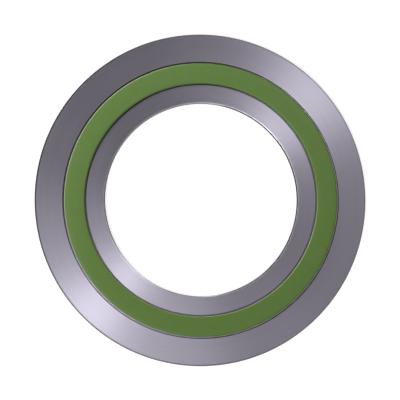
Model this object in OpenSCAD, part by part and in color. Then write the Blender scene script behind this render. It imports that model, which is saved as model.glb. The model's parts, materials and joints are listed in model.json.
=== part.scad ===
// Corrugated metal gasket for a raised-face pipe flange.
// A thin steel core is pressed into concentric corrugations and carries a soft facing on each
// side. Its flat lips are sprung into grooves in two flat steel rings: the outer ring centres
// the gasket inside the flange bolts, and the inner ring lines the pipe bore.
// Millimetres. +Z is the gasket's axis, and the origin is its middle.

/* [Rings] */
// Diameter of the bore, in line with the pipe
bore_d = 105; // [80:0.1:130]
// Width of the inner ring, from its bore to its seam
inner_ring_w = 10.3; // [7:0.05:15]
// Width of the outer ring, from its seam to the rim that the flange bolts centre
outer_ring_w = 15.15; // [8:0.05:30]
// Thickness of both rings
ring_t = 3; // [2.4:0.1:3.6]
// Rounding of the free edges: the outer ring's rim and the inner ring's bore
free_edge_r = 0.8; // [0.3:0.05:1]
// Rounding of the edges beside the facings
seam_edge_r = 0.3; // [0.1:0.05:0.5]

/* [Facings] */
// Width of the band that the soft facings cover
facing_w = 11.2; // [9:0.1:14]
// Thickness over both facings, before the flange squeezes them
gasket_t = 4.5; // [4:0.1:5.5]
// Width of the flat seating land in the middle of each facing
land_w = 4; // [2:0.5:6]
// Slope that the crowned face reaches at its shoulders, in degrees
crown_slope = 6; // [1:0.5:12]
// Radius of the facings' shoulders
shoulder_r = 0.9; // [0.5:0.05:1.2]

/* [Corrugated core] */
// Thickness of the core's steel sheet
core_t = 0.5; // [0.3:0.05:0.6]
// Number of corrugations across the core
corrugations = 3; // [2:1:4]
// Height of the core over its corrugations
core_h = 1.9; // [1.4:0.1:2.4]
// Radius of each bend, to the middle of the sheet
bend_r = 0.55; // [0.4:0.05:0.6]
// Width at each edge of the core's band that stays clear of the corrugations
margin_w = 0.75; // [0.6:0.05:1]

/* [Fits] */
// Open seam between a facing's edge and the ring beside it
seam_w = 0.7; // [0.3:0.05:0.9]
// How far the core's lips reach into the grooves of the rings
lip_reach = 1; // [0.6:0.1:1.6]
// Clearance between a lip and each side of its groove
groove_side_clearance = 0.05; // [0.02:0.01:0.1]
// Clearance between a lip's end and the floor of its groove
groove_end_clearance = 0.2; // [0.1:0.05:0.4]

/* [Hidden] */
$fn = 180;

ring_colour = [0.56, 0.54, 0.60];
core_colour = [0.66, 0.66, 0.68];
facing_colour = [0.37, 0.47, 0.25];

// Radii, from the bore outwards
bore_r = bore_d / 2;
inner_ring_out_r = bore_r + inner_ring_w;
facing_in_r = inner_ring_out_r + seam_w;
facing_out_r = facing_in_r + facing_w;
outer_ring_in_r = facing_out_r + seam_w;
outer_ring_out_r = outer_ring_in_r + outer_ring_w;
core_in_r = inner_ring_out_r - lip_reach;
core_out_r = outer_ring_in_r + lip_reach;

// Groove that takes a lip of the core
groove_depth = lip_reach + groove_end_clearance;
groove_h = core_t + 2 * groove_side_clearance;

// Corrugations: each flank is the line that touches a crest and the trough beside it
corrugated_in_r = facing_in_r + margin_w;
corrugated_out_r = facing_out_r - margin_w;
pitch = (corrugated_out_r - corrugated_in_r) / corrugations;
bend_centre_z = (core_h - core_t) / 2 - bend_r;
flank_angle = atan2(4 * bend_centre_z, pitch)
    + asin(2 * bend_r / norm([pitch / 2, 2 * bend_centre_z]));
// Length of lip that the bend into the first or the last flank takes up
run_out = bend_r * tan(flank_angle / 2);
bend_steps = 8;

// Crowned face: an arc from the land's edge to the shoulder, which turns down to the side
facing_middle_r = (facing_in_r + facing_out_r) / 2;
crown_run = (facing_w - land_w) / 2 - shoulder_r * (1 - sin(crown_slope));
crown_r = crown_run / sin(crown_slope);
shoulder_centre_z = gasket_t / 2 - crown_run * tan(crown_slope / 2) - shoulder_r * cos(crown_slope);
crown_steps = 4;
shoulder_steps = 8;

function reversed(points) = [for (i = [len(points) - 1 : -1 : 0]) points[i]];

// Points of an arc, with its angles measured from +Z towards +X
function arc(centre, r, from, to, steps) =
    [for (i = [0 : steps])
        let (a = from + (to - from) * i / steps)
        centre + r * [sin(a), cos(a)]];

// A bend of the core in one face of its sheet, the upper face (side 1) or the lower one (-1).
// The sheet slopes up by rise_from and by rise_to at the two ends of the bend.
function crest(centre, rise_from, rise_to, side) =
    arc(centre, bend_r + side * core_t / 2, -rise_from, -rise_to, bend_steps);
function trough(centre, rise_from, rise_to, side) =
    arc(centre, bend_r - side * core_t / 2, 180 - rise_from, 180 - rise_to, bend_steps);

// One corrugation, a crest and the trough after it, whose middle line starts at radius r
function corrugation(r, side) =
    concat(
        crest([r + pitch / 4, bend_centre_z], flank_angle, -flank_angle, side),
        trough([r + pitch * 3 / 4, -bend_centre_z], -flank_angle, flank_angle, side));

// One face of the sheet from in_r to out_r, with its flat stretches at both ends
function core_face(in_r, out_r, side) =
    concat(
        [[in_r, side * core_t / 2]],
        trough([corrugated_in_r - run_out, bend_r], 0, flank_angle, side),
        [for (i = [0 : corrugations - 1]) each corrugation(corrugated_in_r + i * pitch, side)],
        crest([corrugated_out_r + run_out, -bend_r], flank_angle, 0, side),
        [[out_r, side * core_t / 2]]);

// Outer half of a facing's face: half of its land, its crown and its shoulder
function crowned_half() =
    concat(
        arc([land_w / 2, gasket_t / 2 - crown_r], crown_r, 0, crown_slope, crown_steps),
        arc([facing_w / 2 - shoulder_r, shoulder_centre_z], shoulder_r,
            crown_slope + (90 - crown_slope) / shoulder_steps, 90, shoulder_steps - 1));

// One side of a ring's section at radius r, with rounded edges. The ring lies towards +X of it
// where toward is 1, and towards the axis where it is -1.
module rounded_side(r, edge_r, toward) {
    for (side = [-1, 1])
        translate([r + toward * edge_r, side * (ring_t / 2 - edge_r)])
            circle(edge_r);
    translate([r + toward * edge_r, 0])
        square([2 * edge_r, ring_t - 2 * edge_r], center = true);
}

// Section of a flat ring
module ring_section(in_r, out_r, in_edge_r, out_edge_r) {
    translate([in_r + in_edge_r, -ring_t / 2])
        square([out_r - in_r - in_edge_r - out_edge_r, ring_t]);
    rounded_side(in_r, in_edge_r, 1);
    rounded_side(out_r, out_edge_r, -1);
}

// Section of a groove that runs both ways from a ring's edge at radius r
module groove_section(r) {
    translate([r, 0])
        square([2 * groove_depth, groove_h], center = true);
}

module outer_ring() {
    color(ring_colour)
        rotate_extrude()
            difference() {
                ring_section(outer_ring_in_r, outer_ring_out_r, seam_edge_r, free_edge_r);
                groove_section(outer_ring_in_r);
            }
}

module inner_ring() {
    color(ring_colour)
        rotate_extrude()
            difference() {
                ring_section(bore_r, inner_ring_out_r, free_edge_r, seam_edge_r);
                groove_section(inner_ring_out_r);
            }
}

module corrugated_core() {
    color(core_colour)
        rotate_extrude()
            polygon(concat(
                core_face(core_in_r, core_out_r, 1),
                reversed(core_face(core_in_r, core_out_r, -1))));
}

// A facing fills the corrugations on its side of the core, so the two meet face to face
module facing(side) {
    half = crowned_half();
    color(facing_colour)
        rotate_extrude()
            polygon(concat(
                core_face(facing_in_r, facing_out_r, side),
                [for (p = reversed(half)) [facing_middle_r + p.x, side * p.y]],
                [for (p = half) [facing_middle_r - p.x, side * p.y]]));
}

module facing_top() {
    facing(1);
}

module facing_bottom() {
    facing(-1);
}

outer_ring();
inner_ring();
corrugated_core();
facing_top();
facing_bottom();
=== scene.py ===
# Corrugated metal gasket, as it lies on a bench: two turned steel rings with a green-faced seal
# between them.
import json
import math

import bpy
from mathutils import Matrix, Vector


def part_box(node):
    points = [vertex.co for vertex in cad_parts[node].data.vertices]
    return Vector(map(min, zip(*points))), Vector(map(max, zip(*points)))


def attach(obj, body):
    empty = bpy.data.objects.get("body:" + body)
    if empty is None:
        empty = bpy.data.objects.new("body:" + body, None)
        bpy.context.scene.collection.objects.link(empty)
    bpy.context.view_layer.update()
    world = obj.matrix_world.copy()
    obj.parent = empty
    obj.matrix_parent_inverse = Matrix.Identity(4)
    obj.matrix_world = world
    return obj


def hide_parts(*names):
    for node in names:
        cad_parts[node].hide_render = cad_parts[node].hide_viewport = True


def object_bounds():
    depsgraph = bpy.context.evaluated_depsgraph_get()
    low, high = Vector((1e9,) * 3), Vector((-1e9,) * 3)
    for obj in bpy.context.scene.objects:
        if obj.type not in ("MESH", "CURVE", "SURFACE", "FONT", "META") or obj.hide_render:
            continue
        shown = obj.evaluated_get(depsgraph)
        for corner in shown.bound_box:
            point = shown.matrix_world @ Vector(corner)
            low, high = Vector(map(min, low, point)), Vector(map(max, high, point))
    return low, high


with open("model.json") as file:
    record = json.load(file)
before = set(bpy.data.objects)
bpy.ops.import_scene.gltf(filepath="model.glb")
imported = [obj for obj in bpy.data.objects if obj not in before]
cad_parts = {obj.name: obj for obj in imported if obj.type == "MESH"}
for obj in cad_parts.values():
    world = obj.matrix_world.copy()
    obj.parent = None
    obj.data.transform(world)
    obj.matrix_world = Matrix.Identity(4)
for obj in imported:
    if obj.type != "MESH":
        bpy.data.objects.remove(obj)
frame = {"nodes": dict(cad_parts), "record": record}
cad_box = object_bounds()

# Outer ring
# A flat ring of steel plate that centres the gasket inside the flange bolts. It is turned on
# both faces, its rim is rounded for handling, and its inner edge has a groove for the core's lip.


def mount_radius(name):
    """Radius in metres of one of the gasket's round mounts."""
    mount = next(m for m in frame["record"]["mounts"] if m["name"] == name)
    return mount["dims"]["r_mm"] / 1000


RIM_RADIUS = mount_radius("rim")
BORE_RADIUS = mount_radius("bore")
INNER_RING_OUT_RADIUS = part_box("inner_ring")[1].x
SEAM_WIDTH = 0.0007
FACING_WIDTH = 0.0112
FACING_IN_RADIUS = INNER_RING_OUT_RADIUS + SEAM_WIDTH
FACING_OUT_RADIUS = FACING_IN_RADIUS + FACING_WIDTH
OUTER_RING_IN_RADIUS = FACING_OUT_RADIUS + SEAM_WIDTH
RING_THICKNESS = 0.003
FREE_EDGE_RADIUS = 0.0008
SEAM_EDGE_RADIUS = 0.0003
GROOVE_DEPTH = 0.0012
GROOVE_HEIGHT = 0.0006
CORNER_STEPS = 8
CORNER_RUN = 0.1
RING_SEGMENTS = 480
SHARP_ANGLE = 40


def point_from(start, angle, distance):
    """Point at a distance from another in a section, with the angle from straight up to the rim."""
    turn = math.radians(angle)
    return (start[0] + distance * math.sin(turn), start[1] + distance * math.cos(turn))


def arc(centre, radius, start, stop, steps):
    """Points of an arc in a section, with its angles in degrees from straight up to the rim."""
    return [point_from(centre, start + (stop - start) * i / steps, radius) for i in range(steps + 1)]


def rounded_corner(centre, radius, start):
    """A quarter round with a short straight run at both ends, to keep the faces there flat. The
    round's last point comes after the second run, so the outline doubles back over that run."""
    *points, last = arc(centre, radius, start, start + 90, CORNER_STEPS)
    run = CORNER_RUN * radius
    before = point_from(points[0], start - 90, run)
    after = point_from(last, start + 180, run)
    return [before, *points, after, last]


def groove(side_r, inward):
    """A square groove in the edge at side_r, from its upper corner round to its lower one."""
    floor_r = side_r + inward * GROOVE_DEPTH
    half = GROOVE_HEIGHT / 2
    return [(side_r, half), (floor_r, half), (floor_r, -half), (side_r, -half)]


def plate_section(in_r, out_r, in_radius, out_radius, grooved):
    """Section of a plate ring, clockwise from its upper inner edge."""
    half = RING_THICKNESS / 2
    inner = in_r + in_radius
    outer = out_r - out_radius
    return (
        rounded_corner((inner, half - in_radius), in_radius, -90)
        + rounded_corner((outer, half - out_radius), out_radius, 0)
        + (groove(out_r, -1) if grooved == "outer" else [])
        + rounded_corner((outer, out_radius - half), out_radius, 90)
        + rounded_corner((inner, in_radius - half), in_radius, 180)
        + (groove(in_r, 1)[::-1] if grooved == "inner" else [])
    )


def feed(tree, made, inputs):
    """Fills a node's inputs, each with a value or by a link from another node's output."""
    for name, value in inputs.items():
        if isinstance(value, bpy.types.NodeSocket):
            tree.links.new(value, made.inputs[name])
        else:
            made.inputs[name].default_value = value


def node(tree, kind, inputs=None, **settings):
    """Adds a node with its settings, and fills its inputs."""
    made = tree.nodes.new(kind)
    for name, value in settings.items():
        setattr(made, name, value)
    feed(tree, made, inputs or {})
    return made


def lathe_tree():
    """Geometry nodes that turn a section round the gasket's axis, as a lathe would."""
    tree = bpy.data.node_groups.new("lathe", "GeometryNodeTree")
    sockets = (
        ("Section", "NodeSocketGeometry"),
        ("Middle radius", "NodeSocketFloat"),
        ("Segments", "NodeSocketInt"),
        ("Sharp angle", "NodeSocketFloat"),
        ("Finish", "NodeSocketMaterial"),
    )
    for name, kind in sockets:
        tree.interface.new_socket(name, in_out="INPUT", socket_type=kind)
    tree.interface.new_socket("Piece", in_out="OUTPUT", socket_type="NodeSocketGeometry")
    given = node(tree, "NodeGroupInput").outputs
    section = node(tree, "GeometryNodeMeshToCurve", {"Mesh": given["Section"]})
    circle = node(tree, "GeometryNodeCurvePrimitiveCircle",
                  {"Resolution": given["Segments"], "Radius": given["Middle radius"]})
    path = node(tree, "GeometryNodeSetCurveNormal", {"Curve": circle.outputs["Curve"]}, mode="Z_UP")
    swept = node(tree, "GeometryNodeCurveToMesh",
                 {"Curve": path.outputs["Curve"], "Profile Curve": section.outputs["Curve"]})
    angle = node(tree, "GeometryNodeInputMeshEdgeAngle")
    blunt = node(tree, "FunctionNodeCompare",
                 {"A": angle.outputs["Unsigned Angle"], "B": given["Sharp angle"]},
                 data_type="FLOAT", operation="LESS_THAN")
    smooth_faces = node(tree, "GeometryNodeSetShadeSmooth", {"Geometry": swept.outputs["Mesh"]},
                        domain="FACE")
    smooth = node(tree, "GeometryNodeSetShadeSmooth",
                  {"Geometry": smooth_faces.outputs["Geometry"],
                   "Shade Smooth": blunt.outputs["Result"]}, domain="EDGE")
    real = node(tree, "GeometryNodeRealizeInstances", {"Geometry": smooth.outputs["Geometry"]})
    finished = node(tree, "GeometryNodeSetMaterial",
                    {"Geometry": real.outputs["Geometry"], "Material": given["Finish"]})
    node(tree, "NodeGroupOutput", {"Piece": finished.outputs["Geometry"]})
    return tree


LATHE = lathe_tree()


def turned(name, section, finish):
    """A closed ring with the given section of (radius, height) points, listed clockwise."""
    radii = [r for r, _ in section]
    middle_r = (min(radii) + max(radii)) / 2
    outline = bpy.data.meshes.new(name + "_section")
    corners = [(r - middle_r, -z, 0) for r, z in section]
    outline.from_pydata(corners, [(i, (i + 1) % len(corners)) for i in range(len(corners))], [])
    piece = bpy.data.objects.new(name, outline)
    bpy.context.scene.collection.objects.link(piece)
    lathe = piece.modifiers.new("lathe", "NODES")
    lathe.node_group = LATHE
    settings = {"Middle radius": middle_r, "Segments": RING_SEGMENTS,
                "Sharp angle": math.radians(SHARP_ANGLE), "Finish": finish}
    for socket in LATHE.interface.items_tree:
        if socket.name in settings:
            lathe[socket.identifier] = settings[socket.name]
    solid = bpy.data.meshes.new_from_object(
        piece.evaluated_get(bpy.context.evaluated_depsgraph_get()))
    piece.modifiers.clear()
    piece.data = solid
    solid.name = name
    return piece


# The steel's colours, and its tool marks as the spacing, drift and detail of each kind
STEEL_DARK = (0.382, 0.361, 0.436)
STEEL_PALE = (0.400, 0.378, 0.454)
STEEL_ROLLED = (0.60, 0.58, 0.64)
# Dark of the dull, scaled cut walls, which is also painted shade along the seams and on the shaded
# sides of the rim and bore
SCALE_AND_PAINTED_SHADE = (0.012, 0.011, 0.013)
STEEL_ROUGHNESS = (0.35, 0.37)
SCALE_ROUGHNESS = 0.8
STEEL_SPECULAR = 0.1
STEEL_STRETCH = 0.85
ACROSS_MARKS = 0.25
TOOL_MARKS = (0.00022, 3.0, 3.0)
TOOL_BANDS = (0.0021, 1.2, 2.0)
MARK_STRENGTH = 0.08
MARK_DEPTH = 0.00003
BORE_ROLLED = 0.00100
# Width of the dark, scaled band beside each seam wall, which is painted shade in the seams
SEAM_PAINTED_SHADE = 0.00012
WALL_BLUR = 0.2

# Dark, scaled band on a free edge, laid in patches as painted shade on the sides of the rim and bore
#  where shade falls: the edge's radius, the band's width, and its patches. A patch has the direction
#  of its middle, its least and most dark, and how far towards it the patch starts and is full, both
#  as shares of the radius.
# Painted shade on the rim, darkest towards the upper left
RIM_PAINTED_SHADE = (RIM_RADIUS, 0.00084, (
    ((-0.87, 0.5, 0), 0.2, 1, -0.1, 1),
    ((-0.34, -0.94, 0), 0, 0.5, 0.5, 0.8),
))
# Painted shade on the bore, in patches on three sides
BORE_PAINTED_SHADE = (BORE_RADIUS, 0.00036, (
    ((1, 0.04, 0), 0, 1, 0.1, 0.3),
    ((-0.42, 0.91, 0), 0, 0.5, 0.7, 0.85),
    ((-1, -0.09, 0), 0, 1, 0.75, 0.92),
))


def shader_tree(name):
    """A new material, its node tree and its main shader."""
    material = bpy.data.materials.new(name)
    material.use_nodes = True
    return material, material.node_tree, material.node_tree.nodes["Principled BSDF"]


def worked(tree, operation, *terms):
    """Result of a sum whose terms are numbers or outputs of nodes."""
    made = node(tree, "ShaderNodeMath", dict(enumerate(terms)), operation=operation)
    return made.outputs["Value"]


def vector_worked(tree, operation, *terms, output="Vector"):
    """Result of a sum whose terms are points or directions."""
    made = node(tree, "ShaderNodeVectorMath", dict(enumerate(terms)), operation=operation)
    return made.outputs[output]


def spread(tree, value, low, high, from_low=0.3, from_high=0.7):
    """Maps a value to the range from low to high, by default from the busy middle of a noise."""
    mapped = node(tree, "ShaderNodeMapRange",
                  {"Value": value, "From Min": from_low, "From Max": from_high,
                   "To Min": low, "To Max": high})
    return mapped.outputs["Result"]


def mixed(tree, share, first, second):
    """The second colour laid over the first by the given share. Each is a colour or an output."""
    layers = [c if isinstance(c, bpy.types.NodeSocket) else (*c, 1) for c in (first, second)]
    made = node(tree, "ShaderNodeMix", {"Factor": share, "A": layers[0], "B": layers[1]},
                data_type="RGBA")
    return made.outputs["Result"]


def place(tree):
    """Where the shaded point lies on the gasket."""
    return node(tree, "ShaderNodeTexCoord").outputs["Object"]


def from_axis(tree):
    """The point's place in the gasket's middle plane, and its distance from the axis."""
    level = vector_worked(tree, "MULTIPLY", place(tree), (1, 1, 0))
    return level, vector_worked(tree, "LENGTH", level, output="Value")


def along(tree, direction):
    """How far from the axis the point lies in a direction."""
    return vector_worked(tree, "DOT_PRODUCT", place(tree), direction, output="Value")


def lathe_marks(tree, spacing, drift, detail):
    """Noise in rings round the axis, spacing apart in the section, which drifts round the ring."""
    level, radius = from_axis(tree)
    height = node(tree, "ShaderNodeSeparateXYZ", {"Vector": place(tree)}).outputs["Z"]
    across = worked(tree, "DIVIDE", worked(tree, "ADD", radius, height), spacing)
    raised = node(tree, "ShaderNodeCombineXYZ", {"Z": across}).outputs["Vector"]
    heading = vector_worked(tree, "NORMALIZE", level)
    turned_by = vector_worked(tree, "MULTIPLY", heading, (drift, drift, drift))
    where = vector_worked(tree, "ADD", turned_by, raised)
    noise = node(tree, "ShaderNodeTexNoise", {"Vector": where, "Scale": 1.0, "Detail": detail})
    return noise.outputs["Fac"]


def beside_wall(tree, wall_r, width):
    """One up to a width from the wall at the given radius, and nothing beyond."""
    away = worked(tree, "ABSOLUTE", worked(tree, "SUBTRACT", from_axis(tree)[1], wall_r))
    return spread(tree, away, 1, 0, width * (1 - WALL_BLUR), width * (1 + WALL_BLUR))


def largest(tree, shares):
    """The largest of several shares."""
    most = 0.0
    for share in shares:
        most = worked(tree, "MAXIMUM", share, most)
    return most


def in_patches(tree, edge_r, width, patches):
    """The share of a mark that lies beside an edge, in patches, and none elsewhere; it lays painted
    shade and painted highlight.
    """
    left = largest(tree, [
        spread(tree, along(tree, middle), least, most, start * edge_r, full * edge_r)
        for middle, least, most, start, full in patches])
    return worked(tree, "MULTIPLY", beside_wall(tree, edge_r, width), left)


def round_marks(tree):
    """Shader inputs that draw reflections out across marks that run round the axis."""
    round_axis = node(tree, "ShaderNodeTangent", direction_type="RADIAL", axis="Z")
    return {"Tangent": round_axis.outputs["Tangent"],
            "Anisotropic": STEEL_STRETCH,
            "Anisotropic Rotation": ACROSS_MARKS}


def turned_steel():
    """Steel plate with fine tool marks, which draw each light out into a fan. The bore's rounding
    is rolled bright. The cut walls are dull and scaled dark, and that dark is also painted shade:
    along both seams, and in patches on the rim and bore on the sides where shade falls."""
    material, tree, shader = shader_tree("turned_steel")
    fine = lathe_marks(tree, *TOOL_MARKS)
    bands = lathe_marks(tree, *TOOL_BANDS)
    # Dark, scaled edges that are also painted shade: along both seams, and in patches on the rim and
    # bore where shade falls
    scale_and_painted_shade = largest(tree, [
        beside_wall(tree, INNER_RING_OUT_RADIUS, SEAM_PAINTED_SHADE),
        beside_wall(tree, OUTER_RING_IN_RADIUS, SEAM_PAINTED_SHADE),
        in_patches(tree, *RIM_PAINTED_SHADE),
        in_patches(tree, *BORE_PAINTED_SHADE)])
    face = mixed(tree, spread(tree, bands, 0, 1), STEEL_DARK, STEEL_PALE)
    bright = mixed(tree, beside_wall(tree, BORE_RADIUS, BORE_ROLLED), face, STEEL_ROLLED)
    gloss = node(tree, "ShaderNodeMix",
                 {"Factor": scale_and_painted_shade, "A": spread(tree, bands, *STEEL_ROUGHNESS), "B": SCALE_ROUGHNESS})
    ridges = node(tree, "ShaderNodeBump",
                  {"Height": fine, "Strength": MARK_STRENGTH, "Distance": MARK_DEPTH})
    feed(tree, shader, {
        "Base Color": mixed(tree, scale_and_painted_shade, bright, SCALE_AND_PAINTED_SHADE),
        "Metallic": spread(tree, scale_and_painted_shade, 1, 0, 0, 1),
        "Roughness": gloss.outputs["Result"],
        "Specular IOR Level": STEEL_SPECULAR,
        "Normal": ridges.outputs["Normal"],
        **round_marks(tree)})
    return material


RING_STEEL = turned_steel()

outer_ring = turned(
    "outer_ring_plate",
    plate_section(OUTER_RING_IN_RADIUS, RIM_RADIUS, SEAM_EDGE_RADIUS, FREE_EDGE_RADIUS, "inner"),
    RING_STEEL)
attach(outer_ring, "root")
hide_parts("outer_ring")

# Inner ring
# The same plate, turned in the same way, between the bore of the pipe and the seal. Its bore is
# rounded for handling, and its outer edge has the groove for the core's inner lip.
inner_ring = turned(
    "inner_ring_plate",
    plate_section(BORE_RADIUS, INNER_RING_OUT_RADIUS, FREE_EDGE_RADIUS, SEAM_EDGE_RADIUS, "outer"),
    RING_STEEL)
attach(inner_ring, "root")
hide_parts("inner_ring")

# Corrugated core
# Thin steel sheet pressed into rings of crests and troughs. Only its flat lips can be seen, down
# in the seams, where they run into the grooves of the two plate rings.
CORE_THICKNESS = 0.0005
CORE_HEIGHT = 0.0019
CORE_MARGIN = 0.00075
CORRUGATIONS = 3
BEND_RADIUS = 0.00055
BEND_STEPS = 6
# The sheet's bright colour, and the painted shade that darkens its lips in the seams on one side and
# towards the inner lip
CORE_BRIGHT = (0.62, 0.61, 0.62)
CORE_PAINTED_SHADE = (0.16, 0.16, 0.14)
CORE_ROUGHNESS = (0.32, 0.40)
ROLLING_MARKS = (0.0006, 2.0, 2.0)
CORE_UNSHADED_SIDE = (0.71, -0.71, 0)
CORE_SHADE_FULL_AT = -0.7
CORE_SHADE_GONE_AT = -0.1
INNER_LIP_UNSHADED_SHARE = 0.33


def core_sheet_steel():
    """Cold-rolled sheet, bright at its outer lip, with painted shade laid over it towards one side
    and towards its inner lip.
    """
    material, tree, shader = shader_tree("core_sheet_steel")
    outwards = spread(tree, from_axis(tree)[1], INNER_LIP_UNSHADED_SHARE, 1,
                      FACING_IN_RADIUS, FACING_OUT_RADIUS)
    unshaded_side = spread(tree, along(tree, CORE_UNSHADED_SIDE), 0, 1,
                   CORE_SHADE_FULL_AT * FACING_OUT_RADIUS, CORE_SHADE_GONE_AT * FACING_OUT_RADIUS)
    # Where the lips keep their bright colour, outside the painted shade
    unshaded = worked(tree, "MULTIPLY", unshaded_side, outwards)
    rolled = lathe_marks(tree, *ROLLING_MARKS)
    feed(tree, shader, {
        "Base Color": mixed(tree, unshaded, CORE_PAINTED_SHADE, CORE_BRIGHT),
        "Metallic": 1.0,
        "Roughness": spread(tree, rolled, *CORE_ROUGHNESS),
        **round_marks(tree)})
    return material


core = frame["nodes"]["corrugated_core"]
core.data.materials.clear()
core.data.materials.append(core_sheet_steel())

# Soft facings
# Green mineral sheet on both sides of the core, pressed down into its corrugations. The face has
# a flat land in the middle, a slight crown to each side, and rounded shoulders down to the seams.
GASKET_THICKNESS = 2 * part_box("facing_top")[1].z
LAND_WIDTH = 0.004
CROWN_SLOPE = 6
CROWN_STEPS = 8
SHOULDER_RADIUS = 0.0009
SHOULDER_STEPS = 12


def corrugated_face(side):
    """The core's face under a facing, upper (side 1) or lower (-1), from the bore side outwards."""
    first = FACING_IN_RADIUS + CORE_MARGIN
    last = FACING_OUT_RADIUS - CORE_MARGIN
    pitch = (last - first) / CORRUGATIONS
    centre_z = (CORE_HEIGHT - CORE_THICKNESS) / 2 - BEND_RADIUS
    across = math.hypot(pitch / 2, 2 * centre_z)
    flank = math.degrees(math.atan2(4 * centre_z, pitch) + math.asin(2 * BEND_RADIUS / across))
    run_out = BEND_RADIUS * math.tan(math.radians(flank) / 2)
    over = BEND_RADIUS + side * CORE_THICKNESS / 2
    under = BEND_RADIUS - side * CORE_THICKNESS / 2
    lip_z = side * CORE_THICKNESS / 2
    points = [(FACING_IN_RADIUS, lip_z)]
    points += arc((first - run_out, BEND_RADIUS), under, 180, 180 - flank, BEND_STEPS)
    for i in range(CORRUGATIONS):
        crest_r = first + (i + 1 / 4) * pitch
        trough_r = first + (i + 3 / 4) * pitch
        points += arc((crest_r, centre_z), over, -flank, flank, BEND_STEPS)
        points += arc((trough_r, -centre_z), under, 180 + flank, 180 - flank, BEND_STEPS)
    points += arc((last + run_out, -BEND_RADIUS), over, -flank, 0, BEND_STEPS)
    return points + [(FACING_OUT_RADIUS, lip_z)]


def crowned_face():
    """The upper facing's outer face, from the inner side wall over the land to the outer one."""
    slope = math.radians(CROWN_SLOPE)
    half = FACING_WIDTH / 2
    top = GASKET_THICKNESS / 2
    run = half - LAND_WIDTH / 2 - SHOULDER_RADIUS * (1 - math.sin(slope))
    crown_radius = run / math.sin(slope)
    shoulder_z = top - run * math.tan(slope / 2) - SHOULDER_RADIUS * math.cos(slope)
    outer = arc((LAND_WIDTH / 2, top - crown_radius), crown_radius, 0, CROWN_SLOPE, CROWN_STEPS)
    outer += arc((half - SHOULDER_RADIUS, shoulder_z), SHOULDER_RADIUS,
                 CROWN_SLOPE, 90, SHOULDER_STEPS)[1:]
    middle = (FACING_IN_RADIUS + FACING_OUT_RADIUS) / 2
    return ([(middle - r, z) for r, z in reversed(outer)]
            + [(middle + r, z) for r, z in outer])


def facing_section(side):
    """Section of a facing, clockwise: the upper one, or the lower one as it hangs under the core."""
    face = [(r, side * z) for r, z in crowned_face()]
    fitted = corrugated_face(side)
    return face + fitted[::-1] if side > 0 else fitted + face[::-1]


# The sheet's dye, painted lighter on one side as painted light, and the painted highlight along its
# shoulders, listed as the rim's and bore's patches are
GREEN_DEEP = (0.100, 0.177, 0.037)
GREEN_PALE = (0.136, 0.228, 0.065)
PAINTED_LIGHT_SIDE = (-0.42, 0.91, 0)
PAINTED_LIGHT_RANGE = (0.1, 0.9)
MOTTLE_RANGE = (-0.1, 0.1)
MOTTLE = {"Scale": 260.0, "Detail": 4.0}
TOOTH = {"Scale": 3200.0, "Detail": 3.0}
TOOTH_STRENGTH = 0.18
TOOTH_DEPTH = 0.00002
SHEET_ROUGHNESS = (0.26, 0.32)
SHEET_SPECULAR = 0.15
# Pale colour painted on the facing's shoulders as a painted highlight, on the sides where light
# catches them
SHOULDER_PAINTED_HIGHLIGHT = (0.31, 0.34, 0.265)
OUTER_SHOULDER_HIGHLIGHT = (FACING_OUT_RADIUS, 0.00034, (((-1, 0.09, 0), 0, 1, 0, 0.5),))
INNER_SHOULDER_HIGHLIGHT = (FACING_IN_RADIUS, 0.00030, (((0.22, -0.97, 0), 0, 1, 0, 0.5),))


def mineral_sheet():
    """Dyed mineral sheet, faintly mottled, with a fine, pressed tooth. It is painted lighter towards
    one side, as painted light, and pale along its shoulders, as a painted highlight."""
    material, tree, shader = shader_tree("green_mineral_sheet")
    spot = place(tree)
    mottle = node(tree, "ShaderNodeTexNoise", {"Vector": spot, **MOTTLE}).outputs["Fac"]
    tooth = node(tree, "ShaderNodeTexNoise", {"Vector": spot, **TOOTH}).outputs["Fac"]
    # Painted light: the green is made lighter towards one side, with a random mottle on top
    painted_light = spread(tree, along(tree, PAINTED_LIGHT_SIDE), *PAINTED_LIGHT_RANGE, -FACING_OUT_RADIUS, FACING_OUT_RADIUS)
    painted_light_and_mottle = worked(tree, "ADD", painted_light, spread(tree, mottle, *MOTTLE_RANGE))
    # Painted highlight along the outer shoulder on one side and the inner shoulder on the other
    painted_highlight = largest(tree, [in_patches(tree, *OUTER_SHOULDER_HIGHLIGHT), in_patches(tree, *INNER_SHOULDER_HIGHLIGHT)])
    grain = node(tree, "ShaderNodeBump",
                 {"Height": tooth, "Strength": TOOTH_STRENGTH, "Distance": TOOTH_DEPTH})
    feed(tree, shader, {
        "Base Color": mixed(tree, painted_highlight, mixed(tree, painted_light_and_mottle, GREEN_DEEP, GREEN_PALE), SHOULDER_PAINTED_HIGHLIGHT),
        "Roughness": spread(tree, tooth, *SHEET_ROUGHNESS),
        "Specular IOR Level": SHEET_SPECULAR,
        "Normal": grain.outputs["Normal"]})
    return material


GREEN_SHEET = mineral_sheet()
FACINGS = (("upper_facing", "facing_top", 1), ("lower_facing", "facing_bottom", -1))
for name, cad_node, side in FACINGS:
    facing = turned(name, facing_section(side), GREEN_SHEET)
    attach(facing, "root")
    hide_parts(cad_node)

# Bench
# A plain white board under the gasket. It looks white to the camera and in the steel, and keeps
# the gasket's soft shadow.
BENCH_SIZE = 6.0
BENCH_COLOUR = (0.5, 0.5, 0.5)
BENCH_GLOW = 0.72


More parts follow.
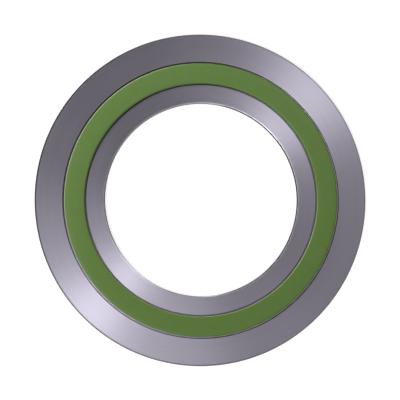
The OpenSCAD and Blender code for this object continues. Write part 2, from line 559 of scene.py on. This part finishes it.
def white_board():
    """A matt white board that is filled in with plain white wherever it is seen."""
    material, tree, shader = shader_tree("white_board")
    tree.nodes.remove(shader)
    matt = node(tree, "ShaderNodeBsdfDiffuse", {"Color": (*BENCH_COLOUR, 1)})
    ray = node(tree, "ShaderNodeLightPath").outputs
    seen = largest(tree, [ray["Is Camera Ray"], ray["Is Glossy Ray"], ray["Is Transmission Ray"]])
    glow = node(tree, "ShaderNodeEmission", {"Strength": worked(tree, "MULTIPLY", seen, BENCH_GLOW)})
    both = node(tree, "ShaderNodeAddShader", {0: matt.outputs["BSDF"], 1: glow.outputs["Emission"]})
    tree.links.new(both.outputs["Shader"], tree.nodes["Material Output"].inputs["Surface"])
    return material


bench_mesh = bpy.data.meshes.new("bench")
reach = BENCH_SIZE / 2
bench_z = cad_box[0][2]
bench_corners = [(-reach, -reach, bench_z), (reach, -reach, bench_z),
                 (reach, reach, bench_z), (-reach, reach, bench_z)]
bench_mesh.from_pydata(bench_corners, [], [(0, 1, 2, 3)])
bench_mesh.materials.append(white_board())
bench = bpy.data.objects.new("bench", bench_mesh)
bpy.context.scene.collection.objects.link(bench)

# Light
# Two long softboxes stand across the gasket from each other, so the turned steel shows a bright
# fan towards each. Broad ones fill the steel between the fans, and small low ones draw out the
# shoulders of the facing and the lips in the seams.
SOFTBOXES = {
    # name: heading, tilt from straight up, distance, width across the heading, length, power
    "softbox_lower_left": (228, 36, 1.6, 0.3, 1.1, 7.2),
    "softbox_upper_right": (41, 36, 1.6, 0.4, 1.1, 3.4),
    "softbox_below": (258, 36, 1.6, 0.8, 1.1, 5.25),
    "softbox_left": (195, 20, 1.6, 0.4, 0.8, 1.5),
    "softbox_above": (100, 75, 1.6, 0.8, 0.6, 5.5),
    "softbox_right": (335, 25, 0.6, 0.35, 0.35, 0.19),
    "softbox_lower_right": (290, 25, 0.6, 0.35, 0.35, 0.14),
    "softbox_low_lower_left": (208, 76, 0.35, 0.25, 0.12, 0.07),
    "softbox_low_left": (165, 70, 0.5, 0.3, 0.15, 0.56),
    "softbox_lowest": (135, 80, 0.4, 0.3, 0.1, 0.80),
}
ROOM_WALLS = 0.20
ROOM_CEILING = 0.04
WALLS_TOP = 0.15
CEILING_EDGE = 0.85


def direction(heading, tilt):
    """Unit vector at a tilt in degrees from straight up, and a heading from +X towards +Y."""
    turn, lean = math.radians(heading), math.radians(tilt)
    return Vector((math.sin(lean) * math.cos(turn), math.sin(lean) * math.sin(turn), math.cos(lean)))


def looking(away, up):
    """Rotation of a lamp or camera that looks against the direction away."""
    right = up.cross(away).normalized()
    return Matrix((right, away.cross(right), away)).transposed().to_4x4()


for name, (heading, tilt, distance, width, length, power) in SOFTBOXES.items():
    lamp = bpy.data.lights.new(name, "AREA")
    lamp.shape = "RECTANGLE"
    lamp.size = width
    lamp.size_y = length
    lamp.energy = power
    softbox = bpy.data.objects.new(name, lamp)
    away = direction(heading, tilt)
    softbox.matrix_world = Matrix.Translation(away * distance) @ looking(away, Vector((0, 0, 1)))
    bpy.context.scene.collection.objects.link(softbox)


def studio_room():
    """A room with pale walls that darken up to its ceiling."""
    world = bpy.data.worlds.new("studio_room")
    world.use_nodes = True
    tree = world.node_tree
    outlook = node(tree, "ShaderNodeTexCoord").outputs["Generated"]
    height = node(tree, "ShaderNodeSeparateXYZ", {"Vector": outlook}).outputs["Z"]
    glow = node(tree, "ShaderNodeMapRange",
                {"Value": height, "From Min": WALLS_TOP, "From Max": CEILING_EDGE,
                 "To Min": ROOM_WALLS, "To Max": ROOM_CEILING}, interpolation_type="SMOOTHSTEP")
    feed(tree, tree.nodes["Background"],
         {"Color": (1, 1, 1, 1), "Strength": glow.outputs["Result"]})
    return world


bpy.context.scene.world = studio_room()
bpy.context.scene.view_settings.view_transform = "Standard"

# Camera
# It looks down on the gasket from a little towards the lower left, and a little short of its
# middle, so that the rim stands in the middle of the picture.
VIEW_DISTANCE = 0.7
VIEW_TILT = 4.7
VIEW_HEADING = 202.8
SEEN_WIDTH = 0.2185
AIM = (-0.00082, -0.00013, 0)

lens = bpy.data.cameras.new("camera")
lens.lens = lens.sensor_width * VIEW_DISTANCE / SEEN_WIDTH
camera = bpy.data.objects.new("camera", lens)
away = direction(VIEW_HEADING, VIEW_TILT)
camera.matrix_world = (Matrix.Translation(Vector(AIM) + away * VIEW_DISTANCE)
                       @ looking(away, Vector((0, 1, 0))))
bpy.context.scene.collection.objects.link(camera)
bpy.context.scene.camera = camera
